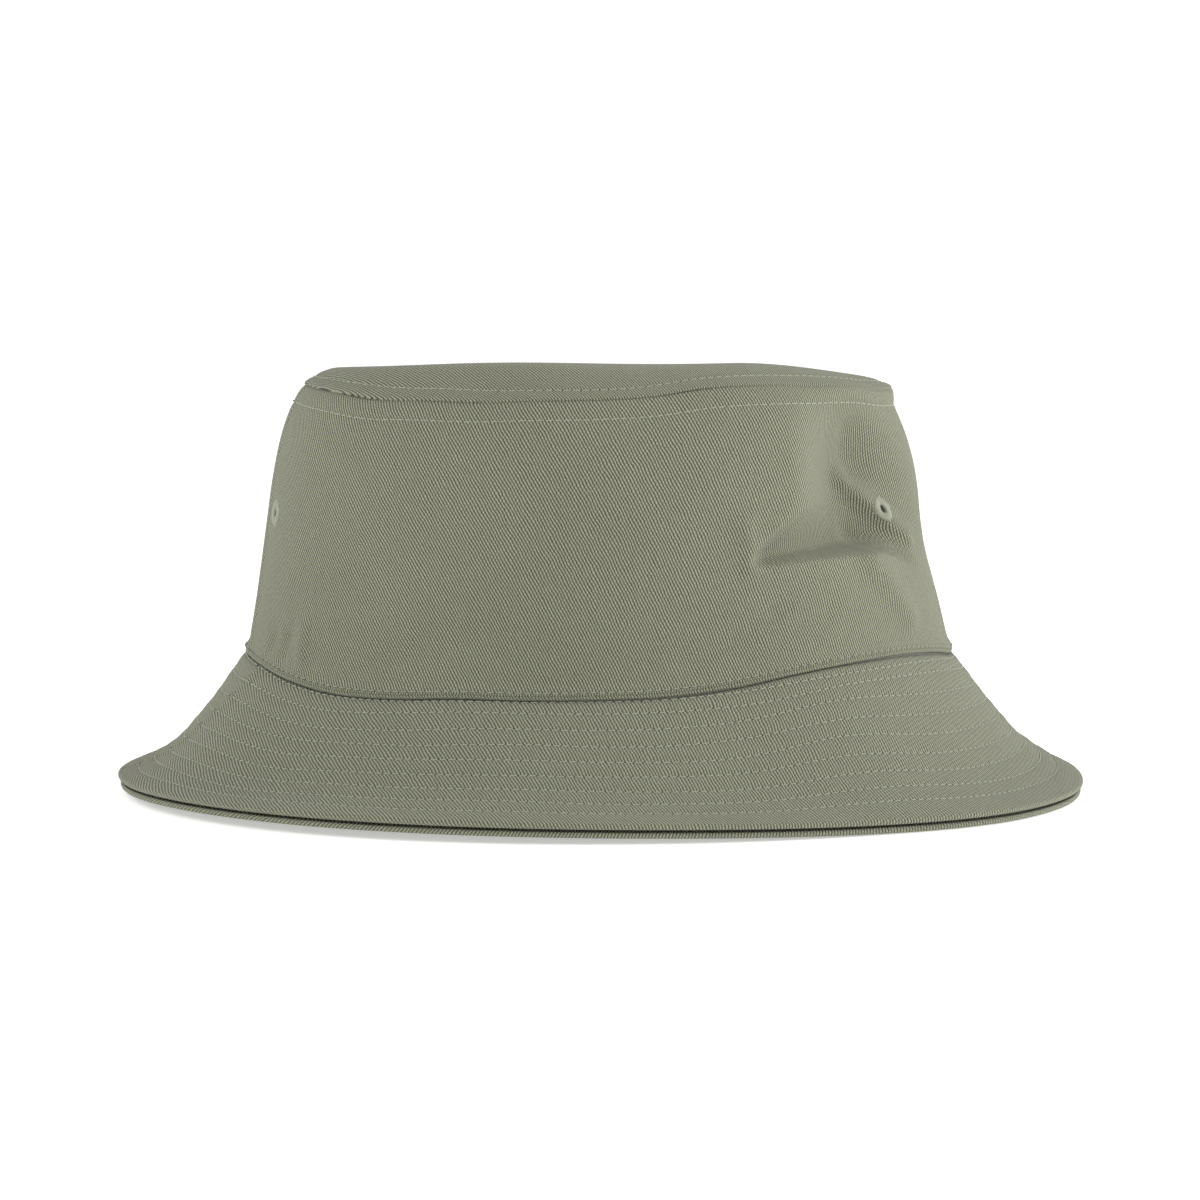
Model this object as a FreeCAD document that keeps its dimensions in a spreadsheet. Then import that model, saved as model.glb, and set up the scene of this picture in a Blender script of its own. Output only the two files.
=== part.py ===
import FreeCAD, Part
import Sketcher
import math
import os

# Cotton twill bucket hat, standing on its brim.
#
# The hat is sewn from flat cloth: an oval tip, two crown panels joined at the sides, and a brim of a top
# cloth, an interlining and an under cloth, each in a front and a back half. Inside are a sweatband, bias
# tapes over the seams and a blank size label. Four embroidered eyelets ventilate the crown, and every row of
# stitching is a piece.
#
# Frame: +Z up, -Y the front, +X the wearer's left. The origin is on the table, under the middle of the tip.
# Every ring follows one four-arc oval, the line where the crown's outer face meets the brim, so a point of
# a cross-section is given as how far outside that oval it lies, and how high.

vec = FreeCAD.Vector

# Driving dimensions, in millimetres and degrees.
DIMENSIONS = {
    "seamHalfWidth": 105.0,  # the oval where crown meets brim, side to side
    "seamHalfDepth": 82.0,  # the same oval, front to back
    "sideRadius": 62.0,  # its two side arcs
    "seamRise": 36.0,  # lower edge of the crown
    "shoulderRise": 105.0,  # where the wall starts to turn in
    "shoulderInset": 11.0,
    "tipRise": 118.0,  # seam between wall and tip
    "tipInset": 17.5,
    "domeRise": 122.0,  # the tip's rounded edge
    "domeInset": 24.0,
    "plateRise": 123.3,  # the tip's flat middle
    "plateInset": 34.0,
    "breakReach": 27.0,  # where the brim's slope eases
    "breakRise": 8.6,
    "brimReach": 40.0,
    "edgeLand": 1.6,  # flat width of the brim's edge on the table
    "cloth": 0.7,  # thickness of the twill
    "liner": 0.5,  # thickness of the interlining
    "clothDrop": 1.0,  # twill measured straight down through the sloping brim
    "linerDrop": 0.8,
    "allowance": 7.0,  # height of the brim's seam allowance inside the crown
    "play": 0.05,  # air between loose layers
    "bandWidth": 30.0,  # sweatband
    "bandThick": 0.6,
    "tapeThick": 0.45,
    "tapeHalfWidth": 6.0,
    "rowStart": 1.2,  # first brim row below the seam, along the cloth
    "rowPitch": 5.65,
    "rowInset": 6.0,  # topstitching beside the tip seam
    "edgeStitch": 2.0,  # topstitching above the crown's lower edge
    "threadRadius": 0.25,
    "eyeletRise": 80.0,
    "eyeletTurn": 27.0,  # about the side arc's centre, from the side seam
    "eyeletHole": 1.4,
    "eyeletWeb": 1.9,
    "eyeletRim": 4.2,
    "eyeletFlange": 0.45,
    "eyeletSetBack": 0.2,  # the inner flange clears the curved wall
    "eyeletLean": 9.06,  # the wall's lean off upright
    "labelWidth": 32.0,
    "labelHeight": 18.0,
    "labelThick": 0.35,
}
BRIM_ROWS = 9
SLOPE_ROWS = 7  # rows above the break, the rest lie on the flare

doc = FreeCAD.newDocument("bucket_hat")
sheet = doc.addObject("Spreadsheet::Sheet", "Dims")
for line, (name, size) in enumerate(DIMENSIONS.items(), 1):
    sheet.set(f"A{line}", name)
    sheet.set(f"B{line}", str(size))
    sheet.setAlias(f"B{line}", name)
doc.recompute()


# ---- expressions for places on the hat ----

def of(name):
    return f"Dims.{name}"


def between(low, high, start, end, at):
    """The value that goes from start to end as at goes from low to high."""
    return f"({start} + ({end} - {start}) * ({at} - {low}) / ({high} - {low}))"


def wall(rise):
    """How far outside the oval the crown's outer face is, at a height below the shoulder."""
    return between(of("seamRise"), of("shoulderRise"), "0", f"(0 - {of('shoulderInset')})", rise)


def shoulder(rise):
    """The same above the shoulder, up to the tip seam."""
    return between(of("shoulderRise"), of("tipRise"), f"(0 - {of('shoulderInset')})",
                   f"(0 - {of('tipInset')})", rise)


def slope(reach):
    """Height of the brim's upper face, from the seam to the break."""
    return between("0", of("breakReach"), of("seamRise"), of("breakRise"), reach)


CENTRE_X = "(Dims.seamHalfWidth - Dims.sideRadius)"
STEP = "(Dims.seamHalfDepth - Dims.sideRadius)"
CENTRE_Y = f"(({CENTRE_X}^2 - {STEP}^2) / (2 * {STEP}))"
BRIM_THICK = "(2 * Dims.clothDrop + Dims.linerDrop)"
SLOPE_LENGTH = "sqrt(Dims.breakReach^2 + (Dims.seamRise - Dims.breakRise)^2)"
FLARE_LENGTH = f"sqrt((Dims.brimReach - Dims.breakReach)^2 + (Dims.breakRise - {BRIM_THICK})^2)"


def number(expression):
    """An expression's value now, as a plain number."""
    value = sheet.evalExpression(str(expression))
    return float(getattr(value, "Value", value))


# ---- sketches ----

def originPlane(body, role):
    return next(part for part in body.Origin.OriginFeatures if part.Role == role)


def newSketch(body, name, role):
    sketch = body.newObject("Sketcher::SketchObject", name)
    sketch.AttachmentSupport = [(originPlane(body, role), "")]
    sketch.MapMode = "FlatFace"
    return sketch


def bind(sketch, kind, where, expression):
    """A dimension held by the sheet. A length of nothing becomes a point on the axis."""
    size = number(expression)
    if abs(size) < 1e-9:
        axis = -1 if kind == "DistanceY" else -2
        sketch.addConstraint(Sketcher.Constraint("PointOnObject", *where[2:], axis))
        return
    index = sketch.addConstraint(Sketcher.Constraint(kind, *where, size))
    sketch.setExpression(f"Constraints[{index}]", str(expression))


def ovalArcs(sketch, inset, front):
    """Half of the oval, drawn inset by a distance: a side arc, the front or back arc, a side arc."""
    side = 1 if front else -1
    cx, cy = number(CENTRE_X), number(CENTRE_Y)
    small = number(of("sideRadius")) - number(inset)
    large = number(of("seamHalfDepth")) + cy - number(inset)
    joint = math.atan2(cy, cx)
    up = vec(0, 0, 1)
    spans = [(vec(cx, 0, 0), small, -joint, 0), (vec(0, side * cy, 0), large, joint - math.pi, -joint),
             (vec(-cx, 0, 0), small, -math.pi, joint - math.pi)]
    if not front:
        spans = [(centre, radius, -end, -start) for centre, radius, start, end in spans]
    first = sketch.GeometryCount
    for centre, radius, start, end in spans:
        sketch.addGeometry(Part.ArcOfCircle(Part.Circle(centre, up, radius), start, end))
    right, middle, left = first, first + 1, first + 2
    inner, outer = (1, 2) if front else (2, 1)
    constraints = [("Tangent", right, inner, middle, outer), ("Tangent", middle, inner, left, outer),
                   ("PointOnObject", right, 3, -1), ("PointOnObject", left, 3, -1),
                   ("PointOnObject", right, outer, -1), ("PointOnObject", left, inner, -1),
                   ("Equal", right, left)]
    for constraint in constraints:
        sketch.addConstraint(Sketcher.Constraint(*constraint))
    bind(sketch, "DistanceX", (-1, 1, right, 3), CENTRE_X)
    bind(sketch, "DistanceX", (left, 3, -1, 1), CENTRE_X)
    bind(sketch, "Radius", (right,), f"{of('sideRadius')} - {inset}")
    bind(sketch, "DistanceY", (-1, 1, middle, 3) if front else (middle, 3, -1, 1), CENTRE_Y)


def polygon(sketch, corners, shift=CENTRE_X + " + Dims.sideRadius"):
    """A closed outline through corners (how far outside the oval, how high)."""
    places = [(f"({shift} + {reach})", str(rise)) for reach, rise in corners]
    points = [vec(number(x), number(z), 0) for x, z in places]
    count = len(points)
    first = sketch.GeometryCount
    for i, point in enumerate(points):
        sketch.addGeometry(Part.LineSegment(point, points[(i + 1) % count]))
    for i, (x, z) in enumerate(places):
        sketch.addConstraint(Sketcher.Constraint("Coincident", first + i, 2, first + (i + 1) % count, 1))
        bind(sketch, "DistanceX", (-1, 1, first + i, 1), x)
        bind(sketch, "DistanceY", (-1, 1, first + i, 1), z)


def threadCircle(sketch, reach, rise):
    x, z = f"({CENTRE_X} + Dims.sideRadius + {reach})", str(rise)
    circle = Part.Circle(vec(number(x), number(z), 0), vec(0, 0, 1), number(of("threadRadius")))
    index = sketch.addGeometry(circle)
    bind(sketch, "DistanceX", (-1, 1, index, 3), x)
    bind(sketch, "DistanceY", (-1, 1, index, 3), z)
    bind(sketch, "Radius", (index,), of("threadRadius"))


# ---- sub-parts ----

subparts = []


def newBody(label):
    body = doc.addObject("PartDesign::Body", label)
    body.Label = label
    body.AllowCompound = True
    subparts.append(body)
    return body


def sweep(body, draw, halves):
    """Draws a cross-section and carries it round the oval: the front half, the back half, or both."""
    for front in halves:
        side = "Front" if front else "Back"
        path = newSketch(body, f"{body.Name}Path{side}", "XY_Plane")
        ovalArcs(path, "0", front)
        section = newSketch(body, f"{body.Name}Section{side}", "XZ_Plane")
        draw(section)
        doc.recompute()
        pipe = body.newObject("PartDesign::AdditivePipe", f"{body.Name}Pipe{side}")
        pipe.Profile = section
        pipe.Spine = (path, ["Edge1", "Edge2", "Edge3"])
        doc.recompute()
    return body


def sweptCloth(label, corners, halves=(True, False)):
    return sweep(newBody(label), lambda section: polygon(section, corners), halves)


def stitchRow(label, places):
    """A row of lockstitch: the needle thread and the bobbin thread, as rings."""
    def draw(section):
        for reach, rise in places:
            threadCircle(section, reach, rise)
    return sweep(newBody(label), draw, (True, False))


def arcStrip(label, corners, centre, widthAngle, turn):
    """A strip that follows one arc of the oval for a short way: a cross-section turned about its centre."""
    body = newBody(label)
    section = newSketch(body, f"{label}Section", "XZ_Plane")
    polygon(section, corners, centre)
    doc.recompute()
    turned = body.newObject("PartDesign::Revolution", f"{label}Turn")
    turned.Profile = section
    turned.ReferenceAxis = (section, ["V_Axis"])
    turned.Midplane = True
    turned.setExpression("Angle", widthAngle)
    body.Placement = turn
    doc.recompute()
    return body


def placeEyelet(thing, right, front, offset="Placement"):
    """Puts a body or a sketch on the wall's outer face, with local +Z pointing out of the crown."""
    radius = f"({of('sideRadius')} + {wall(of('eyeletRise'))})"
    side, end = (1 if right else -1), (-1 if front else 1)
    turn, lean = math.radians(number(of("eyeletTurn"))), math.radians(number(of("eyeletLean")))
    outward = vec(side * math.cos(turn), end * math.sin(turn), math.tan(lean))
    setattr(thing, offset, FreeCAD.Placement(vec(0, 0, 0), FreeCAD.Rotation(vec(0, 0, 1), outward)))
    places = {"x": f"{side} * ({CENTRE_X} + {radius} * cos({of('eyeletTurn')} * 1 deg))",
              "y": f"{end} * {radius} * sin({of('eyeletTurn')} * 1 deg)", "z": of("eyeletRise")}
    for axis, expression in places.items():
        thing.setExpression(f"{offset}.Base.{axis}", expression)


def crownPanel(label, front):
    top = of("tipRise")
    outer = [("0", of("seamRise")), (wall(of("shoulderRise")), of("shoulderRise")), (shoulder(top), top)]
    foot = f"(0 - {of('cloth')})"
    inner = [(f"({reach} - {of('cloth')})", rise) for reach, rise in reversed(outer[1:])]
    body = sweptCloth(label, outer + inner + [(foot, slope(foot))], (front,))
    for right in (True, False):
        hole = body.newObject("Sketcher::SketchObject", f"{label}Hole{'Right' if right else 'Left'}")
        hole.AttachmentSupport = [(originPlane(body, "XY_Plane"), "")]
        hole.MapMode = "FlatFace"
        placeEyelet(hole, right, front, "AttachmentOffset")
        radius = f"({of('eyeletWeb')} + {of('play')})"
        circle = hole.addGeometry(Part.Circle(vec(0, 0, 0), vec(0, 0, 1), number(radius)))
        hole.addConstraint(Sketcher.Constraint("Coincident", circle, 3, -1, 1))
        bind(hole, "Radius", (circle,), radius)
        doc.recompute()
        before = body.Shape.Volume
        pocket = body.newObject("PartDesign::Pocket", f"{hole.Name}Pocket")
        pocket.Profile = hole
        pocket.Midplane = True
        pocket.Length = 8
        doc.recompute()
        if body.Shape.Volume >= before:
            raise RuntimeError(f"{pocket.Name} cut nothing")


def crownTip():
    seam = (shoulder(of("tipRise")), of("tipRise"))
    dome = (f"(0 - {of('domeInset')})", of("domeRise"))
    plate = (f"(0 - {of('plateInset')})", of("plateRise"))
    under = [(reach, f"({rise} - {of('cloth')})") for reach, rise in (plate, dome)]
    inside = (f"({seam[0]} - {of('cloth')})", of("tipRise"))
    body = sweptCloth("crown_tip", [seam, dome, plate, *under, inside])
    middle = newSketch(body, "crown_tipMiddle", "XY_Plane")
    for front in (True, False):
        ovalArcs(middle, of("plateInset"), front)
    middle.setExpression("AttachmentOffset.Base.z", f"{of('plateRise')} - {of('cloth')}")
    doc.recompute()
    pad = body.newObject("PartDesign::Pad", "crown_tipPad")
    pad.Profile = middle
    pad.setExpression("Length", of("cloth"))
    doc.recompute()


def brimLayer(label, front, above, drop, tabOut, tabThick, onTable=False):
    """One layer of the brim, with its seam allowance turned up inside the crown.

    above is how far its upper face lies below the brim's, and tabOut how far inside the oval its allowance
    starts.
    """
    tabTop = f"({of('seamRise')} + {of('allowance')})"
    lean = f"(0 - {wall(tabTop)})"
    outX, inX = f"(0 - {tabOut})", f"(0 - {tabOut} - {tabThick})"
    edgeTop = f"({BRIM_THICK} - {above})"
    edgeLow = f"({edgeTop} - {drop})"
    lowBreak = f"({of('breakRise')} - {above} - {drop})"
    corners = [(f"({outX} - {lean})", tabTop), (outX, f"({slope(outX)} - {above})"),
               (of("breakReach"), f"({of('breakRise')} - {above})"), (of("brimReach"), edgeTop),
               (of("brimReach"), "0" if onTable else edgeLow)]
    if onTable:
        corners.append((f"({of('brimReach')} - {of('edgeLand')})", "0"))
    corners += [(of("breakReach"), lowBreak), (inX, f"({slope(inX)} - {above} - {drop})"),
                (f"({inX} - {lean})", tabTop)]
    sweptCloth(label, corners, (front,))


def brim():
    topTab = f"({of('cloth')} + {of('play')})"
    linerTab = f"({topTab} + {of('cloth')} + {of('play')})"
    underTab = f"({linerTab} + {of('liner')} + {of('play')})"
    linerAbove = of("clothDrop")
    underAbove = f"({of('clothDrop')} + {of('linerDrop')})"
    for front, half in ((True, "front"), (False, "back")):
        brimLayer(f"brim_top_{half}", front, "0", of("clothDrop"), topTab, of("cloth"))
        brimLayer(f"brim_interlining_{half}", front, linerAbove, of("linerDrop"), linerTab, of("liner"))
        brimLayer(f"brim_under_{half}", front, underAbove, of("clothDrop"), underTab, of("cloth"), True)


ALLOWANCES = "(3 * Dims.cloth + Dims.liner + 4 * Dims.play)"  # crown wall and the three turned-up allowances


def sweatband():
    low, high = of("seamRise"), f"({of('seamRise')} + {of('bandWidth')})"
    outer = [(f"({wall(rise)} - {ALLOWANCES})", rise) for rise in (low, high)]
    inner = [(f"({reach} - {of('bandThick')})", rise) for reach, rise in reversed(outer)]
    sweptCloth("sweatband", outer + inner)


def tapes():
    low = f"({of('tipRise')} - {of('tapeHalfWidth')})"
    gap = f"({of('cloth')} + {of('play')})"
    outer = [(f"({shoulder(low)} - {gap})", low),
             (f"({shoulder(of('tipRise'))} - {gap})", f"({of('tipRise')} - {of('play')})"),
             (f"(0 - {of('domeInset')})", f"({of('domeRise')} - {gap})")]
    inner = [(f"({outer[2][0]})", f"({outer[2][1]} - {of('tapeThick')})"),
             (f"({outer[1][0]} - {of('tapeThick')})", f"({outer[1][1]} - {of('tapeThick')})"),
             (f"({outer[0][0]} - {of('tapeThick')})", low)]
    sweptCloth("tip_seam_tape", outer + inner)
    foot = f"({of('seamRise')} + {of('allowance')} + 1)"
    outside = [(f"({wall(rise)} - {gap})", rise) for rise in (foot, of("shoulderRise"))]
    inside = [(f"({reach} - {of('tapeThick')})", rise) for reach, rise in reversed(outside)]
    angle = f"2 * {of('tapeHalfWidth')} / ({of('sideRadius')} - {of('shoulderInset')}) * 180 / pi"
    for name, turn in (("side_seam_tape_left", 0), ("side_seam_tape_right", 180)):
        place = FreeCAD.Placement(vec(number(CENTRE_X), 0, 0), FreeCAD.Rotation())
        spun = FreeCAD.Placement(vec(0, 0, 0), FreeCAD.Rotation(vec(0, 0, 1), turn))
        arcStrip(name, outside + inside, of("sideRadius"), angle, spun.multiply(place))


def sizeLabel():
    """A blank label sewn flat on the sweatband at the back."""
    middle = f"({of('seamRise')} + {of('bandWidth')} / 2 + 1)"
    rises = [f"({middle} - {of('labelHeight')} / 2)", f"({middle} + {of('labelHeight')} / 2)"]
    face = f"({ALLOWANCES} + {of('bandThick')} + {of('play')})"
    outer = [(f"({wall(rise)} - {face})", rise) for rise in rises]
    inner = [(f"({reach} - {of('labelThick')})", rise) for reach, rise in reversed(outer)]
    radius = f"({CENTRE_Y} + {of('seamHalfDepth')})"
    angle = f"{of('labelWidth')} / ({radius} - {face}) * 180 / pi"
    back = FreeCAD.Placement(vec(0, -number(CENTRE_Y), 0), FreeCAD.Rotation(vec(0, 0, 1), 90))
    arcStrip("size_label", outer + inner, radius, angle, back)


def eyelet(label, right, front):
    """Thread worked over the cloth's cut edge: a flange on each face and a sleeve through the hole."""
    body = newBody(label)
    section = newSketch(body, f"{label}Section", "XZ_Plane")
    hole, web, rim = of("eyeletHole"), of("eyeletWeb"), of("eyeletRim")
    inner = f"(0 - {of('cloth')} - {of('eyeletSetBack')})"
    low = f"({inner} - {of('eyeletFlange')})"
    top = of("eyeletFlange")
    polygon(section, [(hole, low), (rim, low), (rim, inner), (web, inner), (web, "0"), (rim, "0"), (rim, top),
                      (hole, top)], "0")
    doc.recompute()
    ring = body.newObject("PartDesign::Revolution", f"{label}Ring")
    ring.Profile = section
    ring.ReferenceAxis = (section, ["V_Axis"])
    ring.Angle = 360
    placeEyelet(body, right, front)
    doc.recompute()


def stitching():
    lay = f"({of('threadRadius')} + {of('play')})"
    tapeFace = f"({of('cloth')} + {of('tapeThick')} + 2 * {of('play')} + {lay})"
    # beside the tip seam: on the tip, and on the wall
    tipX = f"(0 - {of('tipInset')} - {of('rowInset')} * 0.85)"
    tipZ = between(f"(0 - {of('tipInset')})", f"(0 - {of('domeInset')})", of("tipRise"), of("domeRise"), tipX)
    stitchRow("tip_topstitch_upper", [(tipX, f"({tipZ} + {lay} + 0.15)"),
                                      (tipX, f"({tipZ} - {tapeFace} - 0.4)")])
    wallZ = f"({of('tipRise')} - {of('rowInset')} * 0.9)"
    stitchRow("tip_topstitch_lower", [(f"({shoulder(wallZ)} + {lay} + 0.1)", wallZ),
                                      (f"({shoulder(wallZ)} - {tapeFace} - 0.2)", wallZ)])
    # above the crown's lower edge, through to the sweatband
    edgeZ = f"({of('seamRise')} + {of('edgeStitch')})"
    through = f"({ALLOWANCES} + {of('bandThick')} + {lay} + 0.05)"
    stitchRow("crown_edge_topstitch", [(f"({wall(edgeZ)} + {lay} + 0.05)", edgeZ),
                                       (f"({wall(edgeZ)} - {through})", edgeZ)])
    hemZ = f"({of('seamRise')} + {of('bandWidth')} - 2)"
    stitchRow("sweatband_hem_stitch", [(f"({wall(hemZ)} - {through})", hemZ)])
    # the brim's rows, needle thread above and bobbin thread below
    for row in range(BRIM_ROWS):
        along = f"({of('rowStart')} + {row} * {of('rowPitch')})"
        if row < SLOPE_ROWS:
            share = f"({along} / {SLOPE_LENGTH})"
            reach = f"({of('breakReach')} * {share})"
            rise = slope(reach)
        else:
            share = f"(({along} - {SLOPE_LENGTH}) / {FLARE_LENGTH})"
            reach = f"({of('breakReach')} + ({of('brimReach')} - {of('breakReach')}) * {share})"
            rise = f"({of('breakRise')} + ({BRIM_THICK} - {of('breakRise')}) * {share})"
        above, below = f"({rise} + {lay} * 1.5)", f"({rise} - {BRIM_THICK} - {lay} * 1.5)"
        stitchRow(f"brim_stitch_row_{row + 1}", [(reach, above), (reach, below)])


crownPanel("crown_panel_front", True)
crownPanel("crown_panel_back", False)
crownTip()
brim()
sweatband()
tapes()
sizeLabel()
for sideName, isLeft in (("left", True), ("right", False)):
    for endName, isFront in (("front", True), ("back", False)):
        eyelet(f"eyelet_{sideName}_{endName}", isLeft, isFront)
stitching()
doc.recompute()

# ---- checks, then the files ----

for item in doc.Objects:
    if "Invalid" in item.State or "Error" in item.State:
        raise RuntimeError(f"{item.Label} failed: {item.State}")
os.makedirs("parts", exist_ok=True)
for body in subparts:
    shape = body.Shape
    if shape.isNull() or not shape.isValid() or not shape.Solids:
        raise RuntimeError(f"{body.Label} has no valid solid")
    shape.exportStep(f"parts/{body.Label}.step")
    box = shape.BoundBox
    print(f"{body.Label:26s} {len(shape.Solids)} solid(s) {shape.Volume:9.1f} mm3"
          f"  x {box.XMin:7.1f} {box.XMax:6.1f}  y {box.YMin:7.1f} {box.YMax:6.1f}"
          f"  z {box.ZMin:6.1f} {box.ZMax:6.1f}")
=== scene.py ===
import bpy, bmesh
import math
import numpy as np
from mathutils import Matrix, Vector


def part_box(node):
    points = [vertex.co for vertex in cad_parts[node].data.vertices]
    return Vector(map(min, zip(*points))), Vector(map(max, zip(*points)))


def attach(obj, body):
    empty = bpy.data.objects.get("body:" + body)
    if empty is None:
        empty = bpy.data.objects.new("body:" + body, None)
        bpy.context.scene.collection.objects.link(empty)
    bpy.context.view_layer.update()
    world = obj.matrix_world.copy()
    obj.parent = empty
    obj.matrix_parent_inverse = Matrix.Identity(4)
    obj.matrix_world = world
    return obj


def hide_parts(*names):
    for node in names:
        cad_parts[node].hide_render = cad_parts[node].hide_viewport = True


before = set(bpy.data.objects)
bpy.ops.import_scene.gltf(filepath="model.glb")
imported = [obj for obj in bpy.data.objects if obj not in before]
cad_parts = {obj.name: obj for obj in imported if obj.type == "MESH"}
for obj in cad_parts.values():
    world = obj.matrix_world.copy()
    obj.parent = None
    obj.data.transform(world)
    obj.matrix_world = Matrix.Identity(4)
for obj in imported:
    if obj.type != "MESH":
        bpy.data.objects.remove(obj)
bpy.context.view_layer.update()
mm = 0.001

# the hat's main sizes, read off the CAD solids
panelLow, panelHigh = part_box("crown_panel_front")
tipLow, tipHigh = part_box("crown_tip")
hat = {
    "halfWidth": panelHigh.x,
    "halfDepth": -panelLow.y,
    "tipRise": panelHigh.z,
    "tipInset": panelHigh.x - tipHigh.x,
}


def smooth(x):
    x = np.clip(x, 0, 1)
    return x * x * (3 - 2 * x)


def arrays(*values):
    return np.broadcast_arrays(*[np.asarray(value, float) for value in values])


def blend(start, end, share):
    return start + (end - start) * share


def groove(distance, depth, halfWidth):
    # how deep a soft groove, or how high a soft ridge, is at a distance from its middle line
    return depth * np.exp(-(distance / halfWidth) ** 2)


def lengthsAlong(points):
    return np.concatenate([[0], np.cumsum(np.linalg.norm(np.diff(points, axis=0), axis=1))])


# the oval that everything follows, tabled by its length from the front centre, + towards the wearer's left
turns = np.linspace(-math.pi, math.pi, 4001)
ovalLength = lengthsAlong(np.stack([hat["halfWidth"] * np.sin(turns), -hat["halfDepth"] * np.cos(turns)], -1))
girth = ovalLength[-1]
ovalLength -= girth / 2


def wrapped(s):
    return (s + girth / 2) % girth - girth / 2


def placeAt(turn):
    return np.interp(turn, turns, ovalLength)


def around(s):
    # points of the oval, and the directions straight out of it
    turn = np.interp(wrapped(s), ovalLength, turns)
    out = np.stack([np.sin(turn) / hat["halfWidth"], -np.cos(turn) / hat["halfDepth"]], -1)
    out /= np.linalg.norm(out, axis=-1, keepdims=True)
    return np.stack([hat["halfWidth"] * np.sin(turn), -hat["halfDepth"] * np.cos(turn)], -1), out


def standOff(xy, out, reach, rise):
    # points at a reach out of the oval and a rise above the floor
    return np.stack([xy[..., 0] + out[..., 0] * reach, xy[..., 1] + out[..., 1] * reach, rise], -1)


def lineThrough(points, steps=40):
    # a smooth line through (reach, rise) points in mm, as tables of length, reach and rise in metres
    p = np.array(points, float) * mm
    p = np.concatenate([[2 * p[0] - p[1]], p, [2 * p[-1] - p[-2]]])
    t = np.linspace(0, 1, steps, endpoint=False)[:, None]
    spans = []
    for a, b, c, d in zip(p, p[1:], p[2:], p[3:]):
        spans.append(b + 0.5 * t * (c - a + t * (2 * a - 5 * b + 4 * c - d + t * (3 * (b - c) + d - a))))
    line = np.concatenate(spans + [p[-2:-1]])
    return lengthsAlong(line), line[:, 0], line[:, 1]


def along(line, t):
    return np.interp(t, line[0], line[1]), np.interp(t, line[0], line[2])


def drift(s, seed, waves, start=1):
    # a slow wander round the hat that meets itself at the back, about -1 to 1
    random = np.random.default_rng(seed)
    total = np.zeros_like(s)
    for wave in range(start, start + waves):
        total += np.sin(2 * math.pi * (wave * s / girth + random.random())) * random.uniform(0.5, 1)
    return total / math.sqrt(waves)


def ring(*points):
    # a smooth closed curve round the hat through (place, value) points, all in mm
    place = np.array([point[0] for point in points]) * mm
    value = np.tile([point[1] * mm for point in points], 3)
    place = np.concatenate([place - girth, place, place + girth])
    slope = np.gradient(value, place)
    fine = np.linspace(-girth / 2, girth / 2, 1200)
    spot = np.clip(np.searchsorted(place, fine) - 1, 0, len(place) - 2)
    width = place[spot + 1] - place[spot]
    u = (fine - place[spot]) / width
    curve = ((1 + 2 * u) * (1 - u) ** 2 * value[spot] + u * (1 - u) ** 2 * width * slope[spot]
             + u ** 2 * (3 - 2 * u) * value[spot + 1] - u ** 2 * (1 - u) * width * slope[spot + 1])
    return lambda s: np.interp(wrapped(s), fine, curve)


wall = {
    "line": lineThrough([(0, 36), (-1.6, 43), (-3.4, 53), (-5.2, 65), (-6.8, 77), (-8.3, 89), (-10.2, 100),
                         (-12.4, 108), (-15.2, 114.5), (-17.5, 118)]),
    # how much the lower edge and the tip seam rise and fall round the hat
    "seamWave": ring((-260, -0.5), (-200, 2.8), (-150, 5.4), (-130, 3.9), (-110, 0.8), (-90, -1.5),
                     (-70, -1.6), (-50, -0.6), (-30, -0.7), (-10, -0.4), (10, 0.2), (30, 2.2), (50, 5.2),
                     (70, 7.2), (90, 7.9), (110, 6.7), (130, 4.3), (160, 3.8), (200, 2.2), (250, -0.5)),
    "tipWave": ring((-250, -3.4), (-200, -1.6), (-150, 2.7), (-130, 2.5), (-110, 1.8), (-90, 0.7), (-70, 1.0),
                    (-50, 0.8), (-30, 1.5), (-10, 1.8), (10, 2.7), (30, 4.9), (50, 5.2), (70, 4.5), (90, 3.8),
                    (110, 1.9), (130, 1.2), (160, 0.6), (200, -2.0), (250, -3.4)),
    "foldLift": 0.55 * mm,  # the lower edge is turned in double
    "foldWidth": 4.2 * mm,
    "foldSlope": 1.4 * mm,
    "foldRoll": 0.55 * mm,
    "edgeStitch": 2.1 * mm,  # the rows of stitches, up from the lower edge and down from the tip seam
    "tipStitch": 6.3 * mm,
    "stitchGroove": (0.35 * mm, 0.5 * mm),  # depth and half width, as for every groove and ridge
    "tipTuck": (0.8 * mm, 0.6 * mm),  # how far the cloth turns in at the tip seam, and over what height
    "sideSeam": girth / 4,
    "sideAllowance": (0.4 * mm, 7 * mm, 1.2 * mm),  # height, half width and slope
    "sideGroove": (0.8 * mm, 0.8 * mm),
    "slowWander": 0.5,  # in mm
    "quickWander": 0.35,
    "quickHeight": 19,
    "fadeLow": 9,  # heights over which the seams hold the cloth to its plain form, in mm
    "fadeHigh": (3, 12),
}
wall["height"] = wall["line"][0][-1]

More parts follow.
